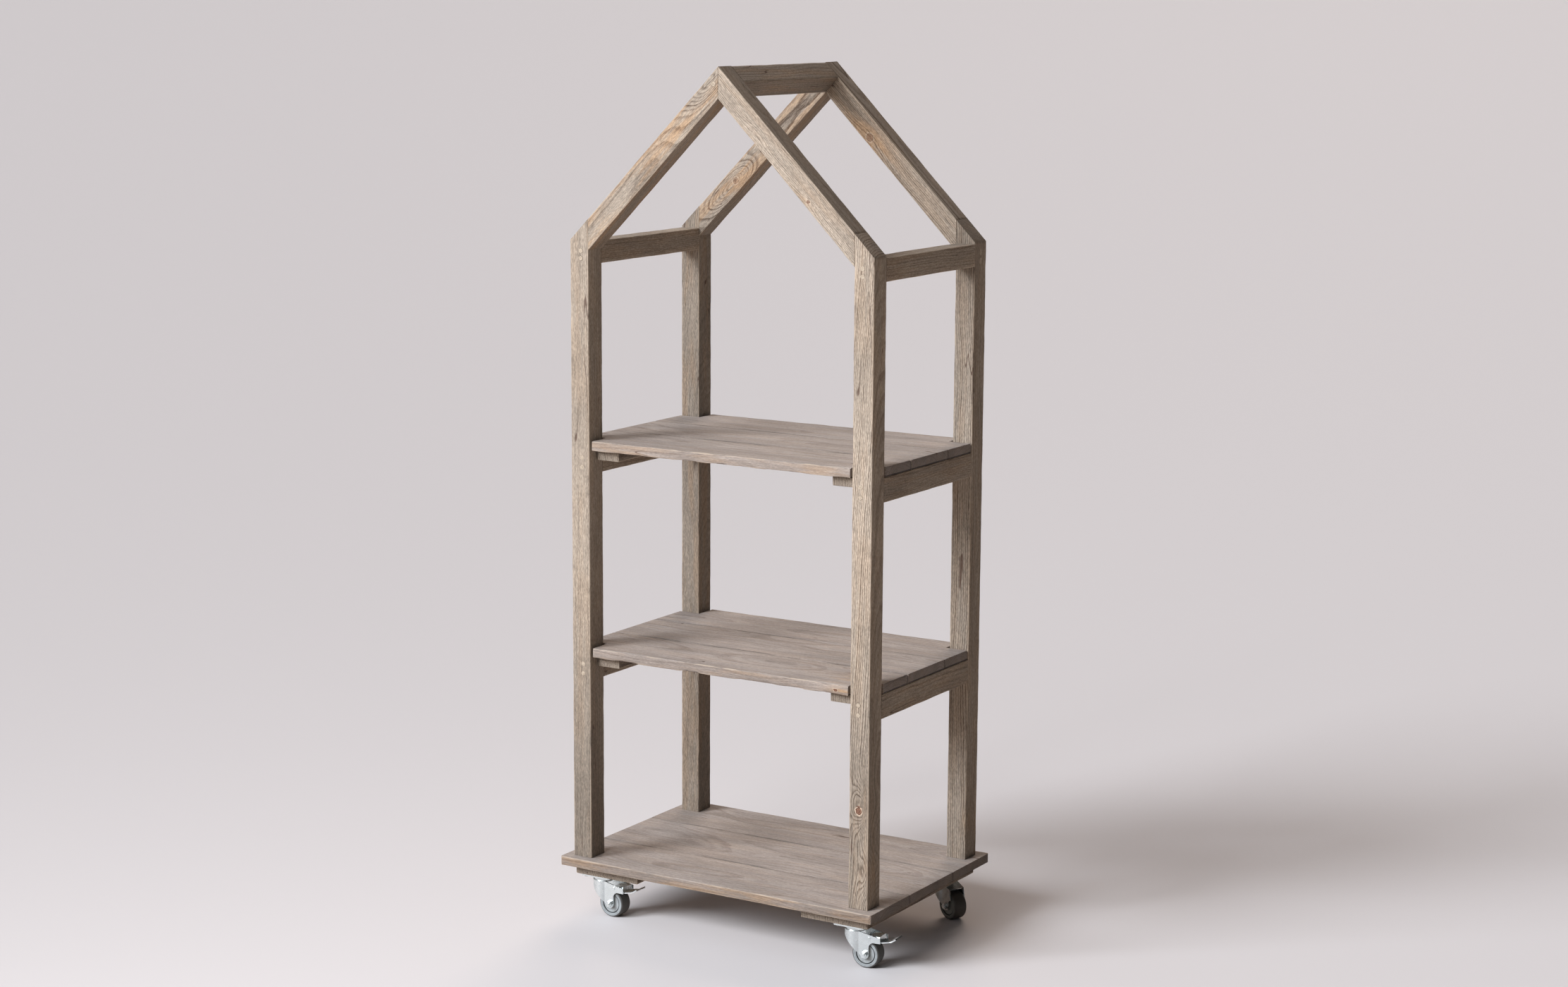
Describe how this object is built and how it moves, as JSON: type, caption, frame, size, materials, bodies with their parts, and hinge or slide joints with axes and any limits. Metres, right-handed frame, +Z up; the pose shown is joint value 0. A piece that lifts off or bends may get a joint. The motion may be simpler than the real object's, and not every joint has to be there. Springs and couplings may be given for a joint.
{
  "type": "shelf unit",
  "caption": "Tall open shelf unit of weathered wood in the shape of a house frame, with loose plank shelves, a plank base and swivel casters, the front ones with toe brakes.",
  "frame": {"origin": "on the floor, under the middle of the frame of posts", "axes": "+Z up; the front gable, with the braked casters, faces -Y; +X to the right seen from the front"},
  "size_m": [0.6567, 0.425, 1.5025],
  "materials": {
    "frame_wood": "weathered grey-brown softwood, wire-brushed, matt",
    "board_wood": "weathered taupe-grey softwood planks, smoother, matt",
    "plug_wood": "end-grain wooden plugs, sanded flush, matt",
    "screw_steel": "bright steel",
    "zinc_steel": "bright zinc-plated pressed steel",
    "wheel_plastic": "grey moulded plastic, satin",
    "tyre_rubber": "dark grey rubber tread, matt"
  },
  "bodies": {
    "frame": {"post_front_left": "frame_wood", "post_front_right": "frame_wood", "post_rear_left": "frame_wood", "post_rear_right": "frame_wood", "rafter_front_left": "frame_wood", "rafter_front_right": "frame_wood", "rafter_rear_left": "frame_wood", "rafter_rear_right": "frame_wood", "ridge_beam": "frame_wood", "eave_rail_left": "frame_wood", "eave_rail_right": "frame_wood", "upper_rail_left": "frame_wood", "upper_rail_right": "frame_wood", "lower_rail_left": "frame_wood", "lower_rail_right": "frame_wood", "base_plank_front": "board_wood", "base_plank_middle": "board_wood", "base_plank_rear": "board_wood", "base_batten_left": "frame_wood", "base_batten_right": "frame_wood", "screw_plugs": "plug_wood", "frame_screws": "screw_steel", "base_screws": "screw_steel", "caster_screws": "screw_steel", "caster_plate_front_left": "zinc_steel", "caster_plate_front_right": "zinc_steel", "caster_plate_rear_left": "zinc_steel", "caster_plate_rear_right": "zinc_steel", "caster_kingpins": "zinc_steel", "swivel_balls": "screw_steel"},
    "upper_shelf": {"upper_shelf_plank_front": "board_wood", "upper_shelf_plank_middle": "board_wood", "upper_shelf_plank_rear": "board_wood", "upper_shelf_batten_left": "frame_wood", "upper_shelf_batten_right": "frame_wood", "upper_shelf_screws": "screw_steel"},
    "lower_shelf": {"lower_shelf_plank_front": "board_wood", "lower_shelf_plank_middle": "board_wood", "lower_shelf_plank_rear": "board_wood", "lower_shelf_batten_left": "frame_wood", "lower_shelf_batten_right": "frame_wood", "lower_shelf_screws": "screw_steel"},
    "caster_front_left": {"fork_front_left": "zinc_steel", "axle_front_left": "zinc_steel"},
    "wheel_front_left": {"wheel_front_left": "wheel_plastic", "tyre_front_left": "tyre_rubber"},
    "pedal_front_left": {"brake_pedal_front_left": "zinc_steel"},
    "caster_front_right": {"fork_front_right": "zinc_steel", "axle_front_right": "zinc_steel"},
    "wheel_front_right": {"wheel_front_right": "wheel_plastic", "tyre_front_right": "tyre_rubber"},
    "pedal_front_right": {"brake_pedal_front_right": "zinc_steel"},
    "caster_rear_left": {"fork_rear_left": "zinc_steel", "axle_rear_left": "zinc_steel"},
    "wheel_rear_left": {"wheel_rear_left": "wheel_plastic", "tyre_rear_left": "tyre_rubber"},
    "caster_rear_right": {"fork_rear_right": "zinc_steel", "axle_rear_right": "zinc_steel"},
    "wheel_rear_right": {"wheel_rear_right": "wheel_plastic", "tyre_rear_right": "tyre_rubber"}
  },
  "joints": [
    {"name": "swivel_front_left", "type": "hinge", "parent": "frame", "child": "caster_front_left", "pos_m": [-0.259, -0.1585, 0.0686], "axis": [0, 0, 1], "continuous": true},
    {"name": "roll_front_left", "type": "hinge", "parent": "caster_front_left", "child": "wheel_front_left", "pos_m": [-0.23601, -0.1593, 0.025], "axis": [-0.0349, -0.9994, 0], "continuous": true},
    {"name": "swivel_front_right", "type": "hinge", "parent": "frame", "child": "caster_front_right", "pos_m": [0.259, -0.1585, 0.0686], "axis": [0, 0, 1], "continuous": true},
    {"name": "roll_front_right", "type": "hinge", "parent": "caster_front_right", "child": "wheel_front_right", "pos_m": [0.28194, -0.1569, 0.025], "axis": [0.0698, -0.9976, 0], "continuous": true},
    {"name": "swivel_rear_left", "type": "hinge", "parent": "frame", "child": "caster_rear_left", "pos_m": [-0.259, 0.1585, 0.0686], "axis": [0, 0, 1], "continuous": true},
    {"name": "roll_rear_left", "type": "hinge", "parent": "caster_rear_left", "child": "wheel_rear_left", "pos_m": [-0.23635, 0.15451, 0.025], "axis": [-0.1736, -0.9848, 0], "continuous": true},
    {"name": "swivel_rear_right", "type": "hinge", "parent": "frame", "child": "caster_rear_right", "pos_m": [0.259, 0.1585, 0.0686], "axis": [0, 0, 1], "continuous": true},
    {"name": "roll_rear_right", "type": "hinge", "parent": "caster_rear_right", "child": "wheel_rear_right", "pos_m": [0.27985, 0.14878, 0.025], "axis": [-0.4226, -0.9063, 0], "continuous": true},
    {"name": "brake_front_left", "type": "hinge", "parent": "caster_front_left", "child": "pedal_front_left", "pos_m": [-0.22802, -0.15958, 0.0542], "axis": [0.0349, 0.9994, 0], "range_deg": [0, 10]},
    {"name": "brake_front_right", "type": "hinge", "parent": "caster_front_right", "child": "pedal_front_right", "pos_m": [0.28992, -0.15634, 0.0542], "axis": [-0.0698, 0.9976, 0], "range_deg": [0, 10]},
    {"name": "upper_shelf_lift", "type": "slide", "parent": "frame", "child": "upper_shelf", "axis": [0, 0, 1], "range_m": [0, 0.2997]},
    {"name": "lower_shelf_lift", "type": "slide", "parent": "frame", "child": "lower_shelf", "axis": [0, 0, 1], "range_m": [0, 0.3017]}
  ]
}
